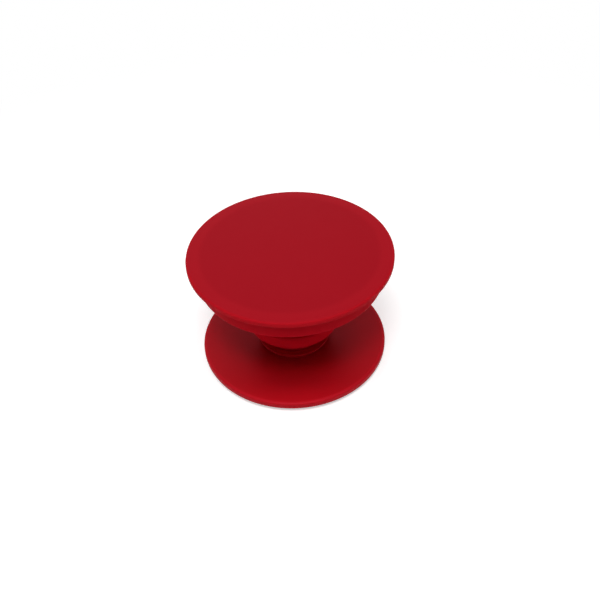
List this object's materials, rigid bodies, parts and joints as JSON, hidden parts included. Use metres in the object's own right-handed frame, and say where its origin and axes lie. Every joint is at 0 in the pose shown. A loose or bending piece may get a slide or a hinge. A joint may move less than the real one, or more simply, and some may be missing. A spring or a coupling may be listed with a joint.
{
  "type": "collapsible phone grip",
  "caption": "Round collapsible phone grip: flat cap on stepped folding bellows over a round adhesive base; pulls out to hold a phone between the fingers.",
  "frame": {"origin": "centre of the adhesive face that sticks to the phone", "axes": "+Z along the grip's axis, from the adhesive face to the cap"},
  "size_m": [0.04, 0.04, 0.025],
  "materials": {
    "cap_plastic": "satin moulded",
    "bellows_elastomer": "soft satin",
    "base_plastic": "satin moulded",
    "plug_plastic": "satin moulded",
    "pad_foam": "matt foam tape"
  },
  "bodies": {
    "base": {"base_plate": "base_plastic", "lock_plug": "plug_plastic", "adhesive_pad": "pad_foam", "bellows": "bellows_elastomer"},
    "cap": {"top_cap": "cap_plastic"}
  },
  "joints": [
    {"name": "collapse", "type": "slide", "parent": "base", "child": "cap", "axis": [0, 0, -1], "range_m": [0, 0.0167], "deforming": ["bellows"]}
  ]
}
